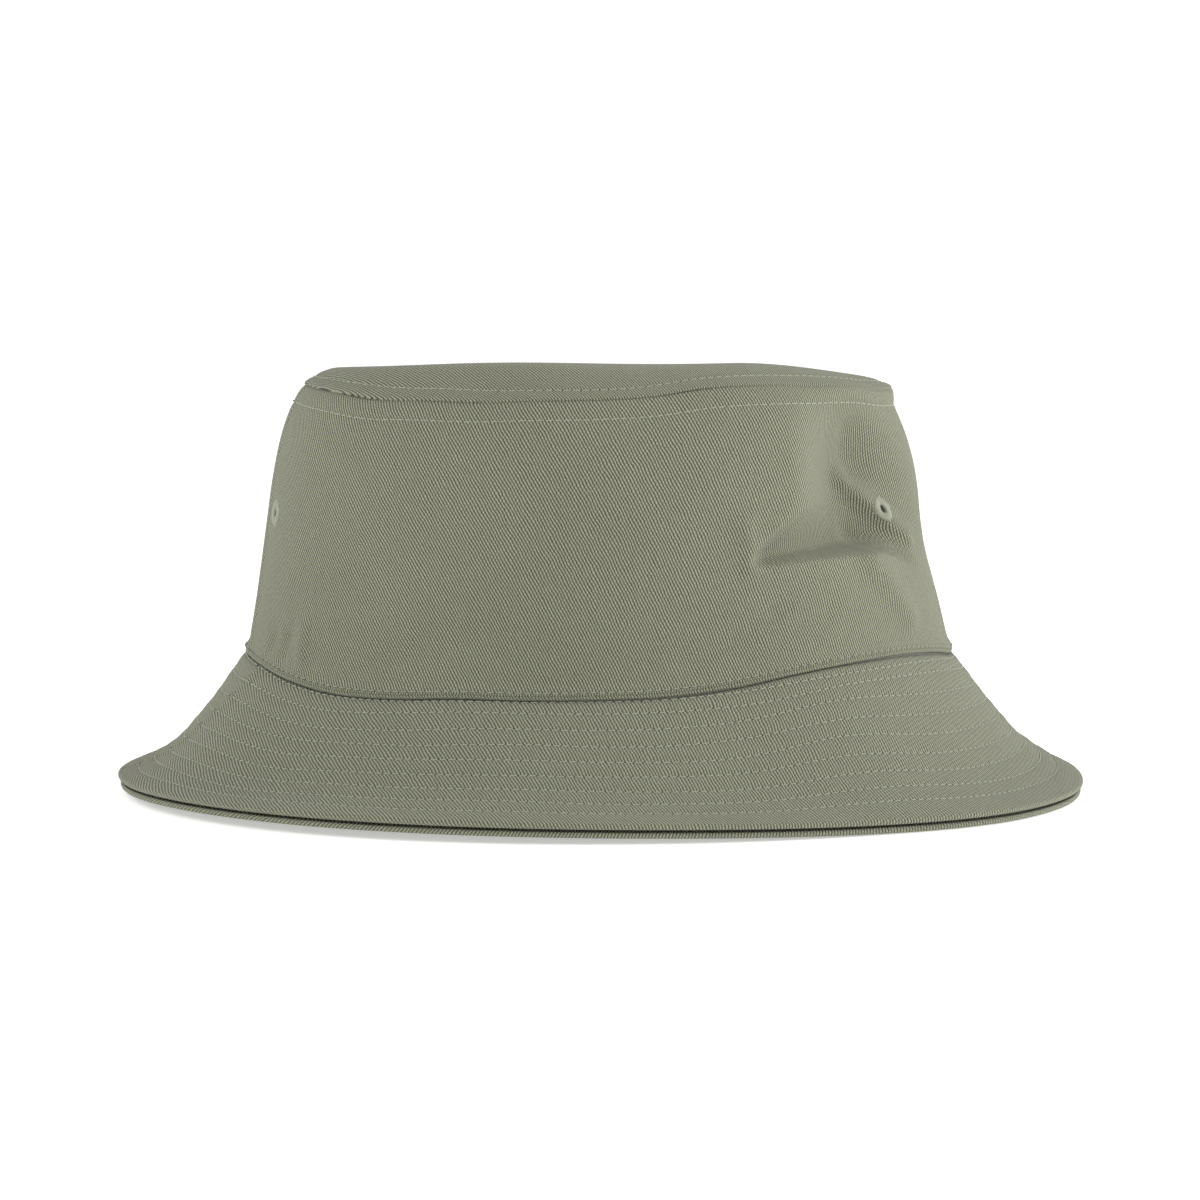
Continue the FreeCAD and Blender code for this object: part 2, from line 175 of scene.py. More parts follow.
# folds in the wall: (s, h) ends in mm, depth (minus stands out), width above and below, how far the ends fade
wallFolds = [
    {"start": (90.3, 52.3), "end": (111.3, 37.4), "depth": -2.6, "above": 4.6, "below": 3.2, "fade": 8},
    {"start": (90, 68), "end": (93, 57), "depth": 1.6, "above": 12, "below": 5, "fade": 9},
    {"start": (90, 36), "end": (104, 31), "depth": 1.3, "above": 4, "below": 3, "fade": 8},
    {"start": (83, 29), "end": (98, 12), "depth": -1.8, "above": 6, "below": 5, "fade": 8},
    {"start": (37, 44), "end": (38, 33), "depth": -0.9, "above": 3, "below": 3, "fade": 6},
    {"start": (18, 8), "end": (43, 17), "depth": 0.9, "above": 4, "below": 3, "fade": 10},
    {"start": (34, 7), "end": (62, 16), "depth": 0.7, "above": 4, "below": 3, "fade": 10},
    {"start": (-69, 11), "end": (-44, 17), "depth": 0.8, "above": 6, "below": 4, "fade": 12},
    {"start": (-106, 3), "end": (-106, 14), "depth": -1.1, "above": 2.5, "below": 2.5, "fade": 7},
    {"start": (-115, 3), "end": (-113, 12), "depth": 0.9, "above": 2.5, "below": 2.5, "fade": 5},
    {"start": (-123, 3), "end": (-121, 10), "depth": 0.8, "above": 2.5, "below": 2.5, "fade": 5},
]
# broad swellings and hollows: (s, h) centre in mm, (half width, half height), how far out
wallSwells = [
    {"at": (62, 22), "size": (30, 12), "out": 0.8},
    {"at": (142, 82), "size": (36, 30), "out": -3.2},
    {"at": (150, 36), "size": (34, 18), "out": -2.6},
    {"at": (-20, 40), "size": (60, 30), "out": 0.9},
    {"at": (-110, 45), "size": (30, 26), "out": 0.6},
]
# where the crown was pressed in, in mm: one flat slope down to a valley, and a sharp crease below
dent = {
    "depth": 14,
    "valley": 84,
    "slope": (48, 31),  # width of the slope beside the crease, and higher up
    "slopeChange": 16,  # height over which the slope narrows
    "nip": 0.34,  # how much of the depth comes at once at the slope's start, beside the crease
    "nipWidth": 9,
    "back": 46,  # width of the valley's far side
    "crease": 33,
    "lip": 3.0,  # height of the crease's step, and how much higher it grows past the valley
    "lipGrowth": 14,
    "lipStart": 3,
    "lipWidth": 26,
    "top": (54, 90),  # it fades between these heights
}


def dentPush(s, h):
    up = smooth((h - dent["crease"]) / dent["slopeChange"])
    width = blend(*dent["slope"], up)
    start = dent["valley"] - width
    nip = dent["nip"] * (1 - up)
    across = nip * smooth((s - start) / dent["nipWidth"]) + (1 - nip) * smooth((s - start) / width)
    across = np.where(s < dent["valley"], across, smooth((dent["valley"] - s) / dent["back"] + 1))
    lip = dent["lip"] + dent["lipGrowth"] * smooth((s - dent["valley"] - dent["lipStart"]) / dent["lipWidth"])
    low, high = dent["top"]
    fade = 1 - smooth((h - low) / (high - low))
    return dent["depth"] * across * smooth((h - dent["crease"]) / lip + 0.5) * fade


def foldShape(s, h, fold):
    (s0, h0), (s1, h1) = fold["start"], fold["end"]
    ds, dh = s1 - s0, h1 - h0
    length = math.hypot(ds, dh)
    past = ((s - s0) * ds + (h - h0) * dh) / length
    across = (-(s - s0) * dh + (h - h0) * ds) / length
    width = np.where(across > 0, fold["above"], fold["below"])
    ends = smooth((past + fold["fade"]) / fold["fade"]) * smooth((length + fold["fade"] - past) / fold["fade"])
    return fold["depth"] * ends * np.exp(-(across / width) ** 2)


def wallPush(s, h):
    # how far the wall's cloth stands out of its plain form, in metres
    ms, mh = s / mm, h / mm
    push = wall["slowWander"] * drift(s, 3, 4, 2)
    push += wall["quickWander"] * drift(s, 8, 5, 4) * np.sin(mh / wall["quickHeight"])
    for swell in wallSwells:
        (cs, ch), (ws, wh) = swell["at"], swell["size"]
        push += swell["out"] * np.exp(-((ms - cs) / ws) ** 2 - ((mh - ch) / wh) ** 2)
    for fold in wallFolds:
        push -= foldShape(ms, mh, fold)
    push -= dentPush(ms, mh)
    over, fade = wall["fadeHigh"]
    return push * mm * smooth(mh / wall["fadeLow"]) * smooth((wall["height"] / mm + over - mh) / fade)


def crownAt(s, h):
    # the crown's outer face, h up from the lower edge
    s, h = arrays(s, h)
    xy, out = around(s)
    reach, rise = along(wall["line"], h)
    share = np.clip(h / wall["height"], 0, 1)
    rise = rise + wall["seamWave"](s) * (1 - share) + wall["tipWave"](s) * share
    reach = reach + wallPush(s, h)
    reach = reach + smooth((wall["foldWidth"] - h) / wall["foldSlope"]) * wall["foldLift"]
    # the lowest cloth rolls in under the edge
    roll = wall["foldRoll"]
    under = np.clip(1 - h / roll, 0, 2.8)
    reach = reach - roll * (1 - np.cos(under))
    rise = rise + np.clip(roll - h, 0, None) - roll * np.sin(under) - np.clip(-h, 0, None)
    tuck, tuckHeight = wall["tipTuck"]
    reach = reach - tuck * np.exp((h - wall["height"]) / tuckHeight)
    for row in (wall["edgeStitch"], wall["height"] - wall["tipStitch"]):
        reach = reach - groove(h - row, *wall["stitchGroove"])
    # the side seams: a sharp valley between two low ridges of seam allowance
    seam = np.minimum(abs(s - wall["sideSeam"]), abs(s + wall["sideSeam"]))
    height, halfWidth, slope = wall["sideAllowance"]
    reach = reach + height * smooth((halfWidth - seam) / slope) - groove(seam, *wall["sideGroove"])
    return standOff(xy, out, reach, rise)


brim = {
    "line": lineThrough([(-0.6, 36.6), (0, 36), (4.9, 30.3), (10, 24.2), (15.7, 18.3), (21.6, 12.7),
                         (27.4, 9.0), (33.3, 6.6), (39.1, 4.9)]),
    "rows": 9,
    "rowStart": 1.7 * mm,
    "rowPitch": 5.55 * mm,
    "rowWander": 0.22 * mm,
    "puff": 0.34 * mm,  # how far the cloth stands up between the rows
    "puffWidth": 1.1 * mm,
    # how much higher and further out the edge lies round the hat
    "edgeWave": ring((-240, 1.0), (-170, 0.8), (-145, 1.0), (-110, 1.6), (-50, 1.5), (0, 0.8), (50, -0.3),
                     (90, -0.6), (125, -0.5), (150, -0.2), (190, 0.2), (240, 0.8)),
    "edgeFlare": ring((-240, -1), (-175, -2.5), (-150, -1.2), (-100, 0), (0, 0), (50, 3), (85, 7), (108, 4.6),
                      (130, 0.2), (150, -2.6), (180, -3.5), (240, -1)),
    # how far the rows lie from their even places: the first row, the second's extra, and all but the first
    "firstRowWave": ring((-200, 0), (-60, 0), (10, 0), (50, 1.6), (100, 1.2), (150, 0.4)),
    "secondRowWave": ring((-200, 0), (-60, -0.6), (0, 0), (25, 0.6), (48, 1.7), (70, 1.0), (100, 0.3),
                          (160, 0)),
    "rowWave": ring((-240, 0), (-150, 0), (-80, 0.2), (-55, -0.4), (0, -1.5), (50, -1.7), (90, -1.7),
                    (150, -0.8), (240, 0)),
    "slowWave": 0.9 * mm,
    "quickWave": 0.55 * mm,
    "layers": 2.2 * mm,  # from the top face to the under face
    "edgeLayers": 4.3 * mm,  # the same at the edge, where both cloths turn in over their allowances
    "spread": (6 * mm, 5 * mm),  # how far from the edge that thickening starts, and its width
    "roll": 0.92 * mm,
    "tuck": (1.5 * mm, 1.3 * mm),  # drawn in under the crown's fold
    "turn": (20 * mm, -3 * mm),  # from the crown's side seams to the brim's, at the top and at the edge
    "seamRidge": (0.9 * mm, 3.0 * mm),
    "seamGroove": (0.6 * mm, 0.7 * mm),
    "cut": 0.17,  # radius of the arc that the cloth was cut to, in metres
}
brim["width"] = brim["line"][0][-1]


def rowAt(row, s):
    shift = brim["rowWave"](s) if row else brim["firstRowWave"](s)
    if row == 1:
        shift = shift + brim["secondRowWave"](s)
    return brim["rowStart"] + row * brim["rowPitch"] + shift + brim["rowWander"] * drift(s, 40 + row, 9, 3)


def puffAt(s, b, power=1.3):
    # none at a row of stitching, and full between the rows
    gap = np.min([abs(b - rowAt(row, s)) for row in range(brim["rows"])], axis=0)
    return brim["puff"] * (1 - np.exp(-(gap / brim["puffWidth"]) ** power))


def brimAt(s, b, below=0.0):
    # the brim's top face b out from the crown, or a face below it
    s, b, below = arrays(s, b, below)
    xy, out = around(s)
    reach, rise = along(brim["line"], b)
    step = 0.5 * mm
    middle = np.clip(b, step, brim["width"] - step)
    ahead = along(brim["line"], middle + step)
    behind = along(brim["line"], middle - step)
    tx, tz = ahead[0] - behind[0], ahead[1] - behind[1]
    length = np.hypot(tx, tz)
    nx, nz = -tz / length, tx / length
    share = np.clip(b / brim["width"], 0, 1)
    lift = wall["seamWave"](s) * (1 - share) ** 1.4 + brim["edgeWave"](s) * share
    reach = reach + brim["edgeFlare"](s) * share ** 2
    wave = brim["slowWave"] * drift(s, 21, 4, 5) + brim["quickWave"] * drift(s, 22, 5, 9)
    rise = rise + lift + wave * np.sin(math.pi * share) ** 0.8
    return (standOff(xy, out, reach, rise)
            - np.stack([out[..., 0] * nx, out[..., 1] * nx, nz], -1) * below[..., None])


def edgeRoll(s, b, below, side):
    # lays a cloth below the top face, and past the brim's edge rolls it inwards
    past = np.clip(b - brim["width"], 0, None) / brim["roll"]
    points = brimAt(s, np.minimum(b, brim["width"]), below + side * brim["roll"] * (1 - np.cos(past)))
    step = 0.5 * mm
    outward = (brimAt(s, brim["width"]) - brimAt(s, brim["width"] - step)) / step
    return points + outward * (brim["roll"] * np.sin(past))[..., None]


def seamTurn(b):
    return blend(*brim["turn"], smooth(b / brim["width"]))


def brimSeam(s, b):
    # the brim's side seams stand up a little over their allowances, and less at the edge
    turned = s - seamTurn(b)
    seam = np.minimum(abs(turned + girth / 4), abs(turned - girth / 4))
    fade = 1 - 0.8 * smooth(b / brim["width"] * 4 - 3)
    return groove(seam, *brim["seamRidge"]) * fade - groove(seam, *brim["seamGroove"])


def brimTopAt(s, b):
    puff = puffAt(s, b) * blend(0.5, 1, smooth((brim["width"] - b) / (4 * mm)))
    return edgeRoll(s, b, groove(b, *brim["tuck"]) - puff - brimSeam(s, b), 1)


def brimUnderAt(s, b):
    start, width = brim["spread"]
    spread = smooth((b - brim["width"] + start) / width)
    layers = blend(brim["layers"], brim["edgeLayers"], spread)
    return edgeRoll(s, b, layers + 0.7 * puffAt(s, b) * (1 - spread), -1)


tip = {
    "crest": 12.9 * mm,  # height of the front of the flat above the seam's plain height
    "crestAt": 65 * mm,  # how far forward of the middle that height is
    "fall": 0.088,  # it slopes down towards the back
    "leftFall": 3.0 * mm,  # it lies lower on the wearer's left
    "leftStart": 34 * mm,
    "leftWidth": 44 * mm,
    "ripple": 0.5 * mm,
    "shoulder": (10 * mm, 21 * mm),  # how far in it still rises, at the sides and at the front and back
    "roll": 1.7 * mm,  # its edge rolls out over the seam
    "seamDip": (0.6 * mm, 0.5 * mm),
    "topstitch": ring((-60, 2.9), (0, 3.0), (40, 4.3), (90, 4.4), (140, 3.2), (220, 3.0)),
    "stitchGroove": (0.3 * mm, 0.6 * mm),
}


def tipRoll(r):
    return tip["roll"] * (1 - np.exp(-r / (0.3 * mm))) * np.exp(-r / (2.5 * mm))


def tipAt(s, r):
    # the tip's outer face, r in from the seam
    s, r = arrays(s, r)
    edge = crownAt(s, wall["height"])
    xy, out = around(s)
    return tipOver(edge[..., :2] - out * (r - tipRoll(r))[..., None], r)


def tipOver(plan, r):
    # the tip over points of the plan, r in from the seam
    x, y = plan[..., 0], plan[..., 1]
    turn = np.arctan2(x / hat["halfWidth"], -y / hat["halfDepth"])
    s = placeAt(turn)
    seam = hat["tipRise"] + wall["tipWave"](s)
    top = hat["tipRise"] + tip["crest"] - tip["fall"] * (y + tip["crestAt"])
    top = top - tip["leftFall"] * smooth((x - tip["leftStart"]) / tip["leftWidth"])
    top = top + tip["ripple"] * np.sin(x / (17 * mm) + 0.6) * np.sin(y / (21 * mm) + 1.1)
    shoulder = blend(*tip["shoulder"], np.cos(turn) ** 2)
    rise = seam + (top - seam) * (1 - (1 - np.clip(r / shoulder, 0, 1)) ** 2)
    rise = rise - groove(r - tip["topstitch"](s), *tip["stitchGroove"])
    dip, dipWidth = tip["seamDip"]
    return np.stack([x, y, rise - dip * np.exp(-r / dipWidth)], -1)


def normalsOf(surface, s, t, step=0.3 * mm):
    ds = surface(s + step, t) - surface(s - step, t)
    dt = surface(s, t + step) - surface(s, t - step)
    normal = np.cross(ds, dt)
    return normal / np.linalg.norm(normal, axis=-1, keepdims=True)


def inside(surface, s, t, gap):
    # points a gap in from a surface
    return surface(s, t) - normalsOf(surface, s, t) * gap


def flatCut(s, t, radius):
    # where a point of a curved piece lies on the flat cloth it was cut from
    return np.stack([(radius + t) * np.sin(s / radius), -(radius + t) * np.cos(s / radius) + radius], -1)


def meshFrom(bm, name):
    mesh = bpy.data.meshes.new(name)
    bm.to_mesh(mesh)
    bm.free()
    return mesh


def pointsOf(mesh):
    points = np.zeros(len(mesh.vertices) * 3)
    mesh.vertices.foreach_get("co", points)
    return points.reshape(-1, 3)


def movePoints(mesh, points):
    mesh.vertices.foreach_set("co", points.ravel())
    mesh.update()
    return mesh


def writeUv(mesh, uv):
    layer = mesh.uv_layers.new(name="cloth")
    corners = np.zeros(len(mesh.loops), int)
    mesh.loops.foreach_get("vertex_index", corners)
    layer.data.foreach_set("uv", uv[corners].astype(np.float32).ravel())


def gridCloth(name, spanS, spanT, step, surface, cut, flip=False, holes=()):
    # a grid of cloth laid on a surface; cut gives each point's place on the flat cloth
    def spread(x, y):
        return blend(*spanS, x + 0.5), blend(*spanT, y + 0.5)

    bm = bmesh.new()
    bmesh.ops.create_grid(bm, x_segments=round((spanS[1] - spanS[0]) / step[0]),
                          y_segments=round((spanT[1] - spanT[0]) / step[1]), size=0.5)
    if flip:
        bmesh.ops.reverse_faces(bm, faces=bm.faces)
    for s, t, radius in holes:
        gone = []
        for face in bm.faces:
            middle = face.calc_center_median()
            faceS, faceT = spread(middle.x, middle.y)
            if math.hypot(faceS - s, faceT - t) < radius:
                gone.append(face)
        bmesh.ops.delete(bm, geom=gone, context="FACES")
    mesh = meshFrom(bm, name)
    points = pointsOf(mesh)
    s, t = spread(points[:, 0], points[:, 1])
    writeUv(mesh, cut(s, t))
    return movePoints(mesh, surface(s, t))


def finishPiece(mesh, name, material, nodeName, thickness=0):
    piece = bpy.data.objects.new(name, mesh)
    bpy.context.scene.collection.objects.link(piece)
    mesh.materials.append(material)
    mesh.polygons.foreach_set("use_smooth", [True] * len(mesh.polygons))
    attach(piece, "root")
    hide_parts(nodeName)
    if thickness:
        solid = piece.modifiers.new("thickness", "SOLIDIFY")
        solid.thickness = thickness
        solid.offset = -1
    return piece


def fill(tree, made, values):
    # gives a node's inputs plain values, or links them to other nodes' outputs
    for name, value in values.items():
        if isinstance(value, bpy.types.NodeSocket):
            tree.links.new(value, made.inputs[name])
        else:
            made.inputs[name].default_value = value


def node(tree, kind, values=None, **settings):
    made = tree.nodes.new(kind)
    for name, value in settings.items():
        setattr(made, name, value)
    fill(tree, made, values or {})
    return made


def maths(tree, operation, *values):
    return node(tree, "ShaderNodeMath", dict(enumerate(values)), operation=operation).outputs[0]


def noiseOf(tree, place, scale, detail):
    return node(tree, "ShaderNodeTexNoise", {"Vector": place, "Scale": scale, "Detail": detail}).outputs[0]


def mixed(tree, values, **settings):
    return node(tree, "ShaderNodeMix", values, data_type="RGBA", **settings).outputs["Result"]


def bumped(tree, height, relief, strength):
    values = {"Strength": strength, "Distance": relief, "Height": height}
    return node(tree, "ShaderNodeBump", values).outputs[0]


weave = {
    "slant": 1.1,  # of the ribs, in radians
    "rib": 0.84 * mm,  # from rib to rib
    "float": 1.1 * mm,  # length of a thread's float along its rib
    "unevenness": 0.3,
    "bendScale": 190.0,
    "slubScale": 1400.0,
    "bend": 4.0,  # how much more the ribs bend than they fray
    "fullness": 0.9,
    "stagger": 0.37,  # of the floats, from rib to rib
    "notch": 0.22,  # how much of the height the floats' ends take
    "slub": 0.9,
}


def buildTwillWeave():
    # slanting ribs of floats, from a UV map in metres; the rib mask also sets the colour, with painted shade
    # in the valleys between the ribs and at the floats' ends
    tree = bpy.data.node_groups.new("twillWeave", "ShaderNodeTree")
    sockets = tree.interface
    sockets.new_socket("Cloth", in_out="INPUT", socket_type="NodeSocketVector")
    for name in ("slant", "rib", "float", "unevenness"):
        socket = sockets.new_socket(name.capitalize(), in_out="INPUT", socket_type="NodeSocketFloat")
        socket.default_value = weave[name]
    for name in ("Rib Mask", "Height"):
        sockets.new_socket(name, in_out="OUTPUT", socket_type="NodeSocketFloat")
    inward = tree.nodes.new("NodeGroupInput").outputs
    outward = tree.nodes.new("NodeGroupOutput")

    def product(a, b):
        return maths(tree, "MULTIPLY", a, b)

    def total(a, b):
        return maths(tree, "ADD", a, b)

    def noise(scale, detail):
        grain = noiseOf(tree, inward["Cloth"], scale, detail)
        return product(maths(tree, "SUBTRACT", grain, 0.5), inward["Unevenness"])

    bend = noise(weave["bendScale"], 3.0)
    fine = noise(weave["slubScale"], 2.0)
    x, y, z = node(tree, "ShaderNodeSeparateXYZ", {0: inward["Cloth"]}).outputs
    cosine = maths(tree, "COSINE", inward["Slant"])
    sine = maths(tree, "SINE", inward["Slant"])
    # across the ribs and along them; the ribs run down to the right
    across = total(product(x, sine), product(y, cosine))
    lengthwise = maths(tree, "SUBTRACT", product(x, cosine), product(y, sine))
    ribPlace = total(maths(tree, "DIVIDE", across, inward["Rib"]), total(product(bend, weave["bend"]), fine))
    wave = maths(tree, "COSINE", product(ribPlace, 2 * math.pi))
    rib = maths(tree, "POWER", maths(tree, "MULTIPLY_ADD", wave, 0.5, 0.5), weave["fullness"])
    floatPlace = total(maths(tree, "DIVIDE", lengthwise, inward["Float"]),
                       product(maths(tree, "ROUND", ribPlace), weave["stagger"]))
    notch = maths(tree, "COSINE", product(floatPlace, 2 * math.pi))
    notch = maths(tree, "MULTIPLY_ADD", notch, 0.5, 0.5)
    body = total(product(rib, 1 - weave["notch"]), product(notch, weave["notch"]))
    body = product(body, maths(tree, "MULTIPLY_ADD", fine, weave["slub"], 1.0))
    fill(tree, outward, {"Rib Mask": body, "Height": body})
    return tree


twillWeave = buildTwillWeave()


def startMaterial(name):
    material = bpy.data.materials.new(name)
    material.use_nodes = True
    tree = material.node_tree
    return material, tree, tree.nodes["Principled BSDF"], node(tree, "ShaderNodeTexCoord").outputs["Object"]


twillLook = {"Roughness": 0.86, "Specular IOR Level": 0.25, "Sheen Weight": 0.1, "Sheen Roughness": 0.55}
wash = {"scale": 28.0, "amount": 0.14}  # how unevenly the cloth was washed
twillRelief = 0.14 * mm


def twillMaterial(name, light, dark, slant=1.1, rib=0.8 * mm):
    material, tree, shader, place = startMaterial(name)
    uv = node(tree, "ShaderNodeUVMap", uv_map="cloth").outputs[0]
    ribs = node(tree, "ShaderNodeGroup", node_tree=twillWeave)
    fill(tree, ribs, {"Cloth": uv, "Slant": slant, "Rib": rib})
    # painted shade: the rib mask runs the colour from the rib tops' own colour down to near-black in the
    # valleys between the ribs, where the ribs shade each other
    tone = mixed(tree, {"Factor": ribs.outputs["Rib Mask"], "A": dark, "B": light})
    noise = noiseOf(tree, place, wash["scale"], 4.0)
    washed = maths(tree, "MULTIPLY_ADD", noise, wash["amount"], 1 - wash["amount"] / 2)
    worn = mixed(tree, {"Factor": 1.0, "A": tone, "B": washed}, blend_type="MULTIPLY")
    bump = bumped(tree, ribs.outputs["Height"], twillRelief, 1.0)
    fill(tree, shader, {"Base Color": worn, "Normal": bump, **twillLook})
    return material


plainRelief = 0.06 * mm
plainVariation = 0.12  # how much lighter and darker than its colour a plain material gets


def plainMaterial(name, color, rough=0.8, sheen=0.3, grain=900.0):
    material, tree, shader, place = startMaterial(name)
    fuzz = noiseOf(tree, place, grain, 3.0)
    low = [c * (1 - plainVariation) for c in color[:3]] + [1]
    high = [min(1, c * (1 + plainVariation)) for c in color[:3]] + [1]
    tone = mixed(tree, {"Factor": fuzz, "A": low, "B": high})
    bump = bumped(tree, fuzz, plainRelief, 0.8)
    fill(tree, shader, {"Base Color": tone, "Normal": bump, "Roughness": rough, "Sheen Weight": sheen})
    return material


finish = {
    # the second colour of each twill is painted shade, the near-black in the valleys between its ribs; the
    # first is the cloth's own colour
    "clothLight": (0.338, 0.346, 0.244, 1),
    "clothValleyShade": (0.022, 0.023, 0.016, 1),
    "brimLight": (0.318, 0.326, 0.231, 1),
    "brimValleyShade": (0.036, 0.037, 0.026, 1),
    "thread": (0.30, 0.32, 0.236, 1),
    # painted shade: the near-black of the needle holes beside the stitches
    "needleHoleShade": (0.035, 0.035, 0.024, 1),
    "eyelet": (0.275, 0.288, 0.212, 1),
    "liner": (0.72, 0.71, 0.65, 1),
    "tape": (0.17, 0.175, 0.12, 1),
    "label": (0.78, 0.78, 0.74, 1),
}
crownTwill = twillMaterial("crownTwill", finish["clothLight"], finish["clothValleyShade"], slant=1.14)
brimTwill = twillMaterial("brimTwill", finish["brimLight"], finish["brimValleyShade"], slant=1.22, rib=0.9 * mm)
bandTwill = twillMaterial("bandTwill", finish["clothLight"], finish["clothValleyShade"], rib=0.7 * mm)
threadStrand = plainMaterial("threadStrand", finish["thread"], rough=0.6, sheen=0.2, grain=2600.0)
needleHoleShade = plainMaterial("needleHoleShade", finish["needleHoleShade"], rough=1.0, sheen=0.0)
eyeletThread = plainMaterial("eyeletThread", finish["eyelet"], rough=0.55, sheen=0.2, grain=2200.0)
linerFelt = plainMaterial("linerFelt", finish["liner"], rough=0.95, grain=1500.0)
seamTape = plainMaterial("seamTape", finish["tape"], rough=0.9, grain=2400.0)
labelSatin = plainMaterial("labelSatin", finish["label"], rough=0.5, grain=3000.0)
print("materials made")


cloth = {
    "crown": 0.6 * mm,  # thicknesses
    "brim": 0.5 * mm,
    "liner": 0.4 * mm,
    "tape": 0.4 * mm,
    "label": 0.3 * mm,
    "crownCut": 0.42,  # radius of the arc that the crown's wall was cut to, in metres
    "crownStep": (1.0 * mm, 0.75 * mm),
    "brimStep": (1.25 * mm, 0.42 * mm),
    "linerStep": (2.5 * mm, 2.5 * mm),
    "lap": 1.0 * mm,  # how far the cloth goes on past the seam of crown and brim
    "topHem": 3.0 * mm,  # how far the brim's cloths turn in past its edge
    "underHem": 2.8 * mm,
    "linerShort": 2.5 * mm,
    "linerBelow": 0.9 * mm,
}
eyelets = {
    "side": 119 * mm,  # from the front or back centre, along the seam
    "rise": 45 * mm,
    "outer": 4.1 * mm,
    "hole": 1.3 * mm,
    "clothHole": 1.9 * mm,
    "wraps": 34,
    "thick": 0.72 * mm,  # half the thickness of the ring of thread
    "sunk": 0.3 * mm,
    "uneven": 0.35 * mm,
    "wrapDip": 0.25 * mm,
    "wrapLow": 0.72,  # height between two wraps, as a share of the height on one
}
eyeletPlaces = {
    "eyelet_left_front": eyelets["side"] - 15 * mm,  # the dent has drawn it forward
    "eyelet_right_front": -eyelets["side"] - 14 * mm,
    "eyelet_left_back": girth / 2 - eyelets["side"],
    "eyelet_right_back": eyelets["side"] - girth / 2,
}
halves = {"front": (-girth / 4, girth / 4), "back": (girth / 4, 3 * girth / 4)}


def middleOf(s, half):
    return s if half == "front" else s - girth / 2


for half, span in halves.items():
    holes = []
    for place in eyeletPlaces.values():
        for s in (place, place + girth):
            if span[0] < s < span[1]:
                holes.append((s, eyelets["rise"], eyelets["clothHole"]))
    panel = gridCloth("crownPanel", span, (-cloth["lap"], wall["height"]), cloth["crownStep"], crownAt,
                      lambda s, h: flatCut(middleOf(s, half), -h, cloth["crownCut"]), holes=holes)
    panel = finishPiece(panel, f"crown_cloth_{half}", crownTwill, f"crown_panel_{half}",
                        cloth["crown"])
print("crown panels laid")


def tipMesh():
    bm = bmesh.new()
    bmesh.ops.create_grid(bm, x_segments=180, y_segments=140, size=1.0)
    mesh = meshFrom(bm, "crownTip")
    x, y, z = pointsOf(mesh).T
    # a square grid eased into a disc, then into the oval
    u = x * np.sqrt(1 - y ** 2 / 2)
    v = y * np.sqrt(1 - x ** 2 / 2)
    radius = 1 - (1 - np.clip(np.hypot(u, v), 0, 1)) ** 1.3  # closer rings at the seam
    edge = crownAt(placeAt(np.arctan2(u, -v)), wall["height"])[:, :2]
    reach = np.linalg.norm(edge, axis=1)
    depth = reach * (1 - radius)
    plan = edge * (radius + tipRoll(depth) / reach)[:, None]
    # the cloth that climbs the shoulder is longer than its plan
    climb = 5 * mm * (1 - np.clip(depth / (15 * mm), 0, 1)) ** 3
    writeUv(mesh, plan * (1 + climb / reach)[:, None])
    return movePoints(mesh, tipOver(plan, depth))


tipPiece = finishPiece(tipMesh(), "crown_tip_cloth", crownTwill, "crown_tip", cloth["crown"])
print("tip laid")


def turnedFace(face):
    # a face of the brim, with its grid turned to run along the slanting side seams
    return lambda s, b: face(s + seamTurn(b), b)


for half, span in halves.items():
    cut = turnedFace(lambda s, b: flatCut(middleOf(s, half), b, brim["cut"]))
    top = gridCloth("brimTop", span, (-cloth["lap"], brim["width"] + cloth["topHem"]), cloth["brimStep"],
                    turnedFace(brimTopAt), cut, flip=True)
    top = finishPiece(top, f"brim_cloth_top_{half}", brimTwill, f"brim_top_{half}",
                      cloth["brim"])
    under = gridCloth("brimUnder", span, (-cloth["lap"], brim["width"] + cloth["underHem"]), cloth["brimStep"],
                      turnedFace(brimUnderAt), cut)
    under = finishPiece(under, f"brim_cloth_under_{half}", brimTwill, f"brim_under_{half}",
                        cloth["brim"])
    liner = gridCloth("brimLiner", span, (0, brim["width"] - cloth["linerShort"]), cloth["linerStep"],
                      turnedFace(lambda s, b: brimAt(s, b, cloth["linerBelow"])), cut, flip=True)
    liner = finishPiece(liner, f"brim_liner_{half}", linerFelt, f"brim_interlining_{half}",
                        cloth["liner"])
print("brim laid")


lining = {
    "gap": 1.5 * mm,  # from the crown's outer face to the band
    "slack": 0.5 * mm,
    "bandWidth": 30 * mm,
    "bandLow": 0.6 * mm,  # how far it starts below the crown's edge
    "bandLap": 9 * mm,
    "lapGap": 0.75 * mm,  # how far the end that laps over stands in
    "lapSlope": 3 * mm,
    "hem": 4 * mm,
    "hemGap": 0.35 * mm,
    "hemStitch": 0.6 * mm,  # up from the hem's step, which slopes over the same height
    "hemGroove": (0.25 * mm, 0.5 * mm),
    "tapeGap": 1.1 * mm,
    "tapeWidth": 12 * mm,
    "tapeBlend": 3 * mm,  # height over which the tape bends round the tip seam
    "tapeLow": 24 * mm,
    "labelRise": 9 * mm,
    "labelWidth": 32 * mm,
    "labelHeight": 18 * mm,
    "labelGap": 0.9 * mm,
    "labelBulge": 0.5 * mm,
}
hemRow = lining["bandWidth"] - lining["hem"] + lining["hemStitch"]


